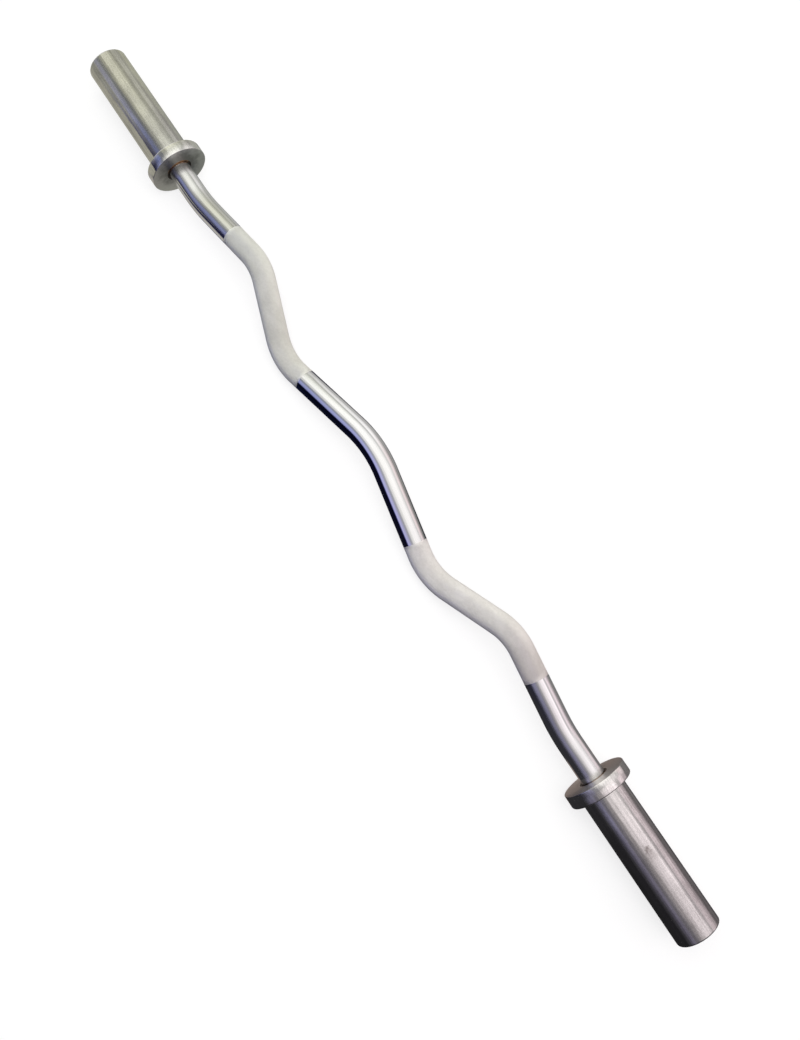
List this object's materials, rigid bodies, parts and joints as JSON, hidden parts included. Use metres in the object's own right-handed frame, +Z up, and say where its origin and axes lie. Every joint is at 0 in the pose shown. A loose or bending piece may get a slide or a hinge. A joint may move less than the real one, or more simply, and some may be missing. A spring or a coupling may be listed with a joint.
{
  "type": "ez curl bar",
  "caption": "Curl bar: a bent steel shaft with angled knurled grips, and a wide collar with a smooth turning sleeve for weight plates at each end.",
  "frame": {"origin": "on the floor under the middle of the axis that both sleeves share, with the bar lying at rest on its collars and valley bends", "axes": "+X along the bar towards the right sleeve, +Z up"},
  "size_m": [1.198, 0.072, 0.072],
  "materials": {
    "shaft_chrome": "bright chrome, with two bands of fine matt diamond knurling on the grips",
    "sleeve_steel": "satin, smoothly turned",
    "collar_steel": "satin rim, turned matt faces",
    "plug_steel": "faced, fine rings",
    "bronze": "plain oiled bronze",
    "washer_steel": "ground flat",
    "spring_steel": "black phosphated spring steel"
  },
  "bodies": {
    "shaft": {"shaft": "shaft_chrome", "left_inner_thrust_washer": "washer_steel", "left_outer_thrust_washer": "washer_steel", "left_shim": "washer_steel", "left_retaining_ring": "spring_steel", "right_inner_thrust_washer": "washer_steel", "right_outer_thrust_washer": "washer_steel", "right_shim": "washer_steel", "right_retaining_ring": "spring_steel"},
    "left_sleeve": {"left_collar": "collar_steel", "left_sleeve": "sleeve_steel", "left_inner_bushing": "bronze", "left_outer_bushing": "bronze", "left_end_plug": "plug_steel", "left_end_snap_ring": "spring_steel"},
    "right_sleeve": {"right_collar": "collar_steel", "right_sleeve": "sleeve_steel", "right_inner_bushing": "bronze", "right_outer_bushing": "bronze", "right_end_plug": "plug_steel", "right_end_snap_ring": "spring_steel"}
  },
  "joints": [
    {"name": "left_sleeve_spin", "type": "hinge", "parent": "shaft", "child": "left_sleeve", "pos_m": [-0.52, 0, 0.036], "axis": [1, 0, 0], "continuous": true},
    {"name": "right_sleeve_spin", "type": "hinge", "parent": "shaft", "child": "right_sleeve", "pos_m": [0.52, 0, 0.036], "axis": [1, 0, 0], "continuous": true}
  ]
}
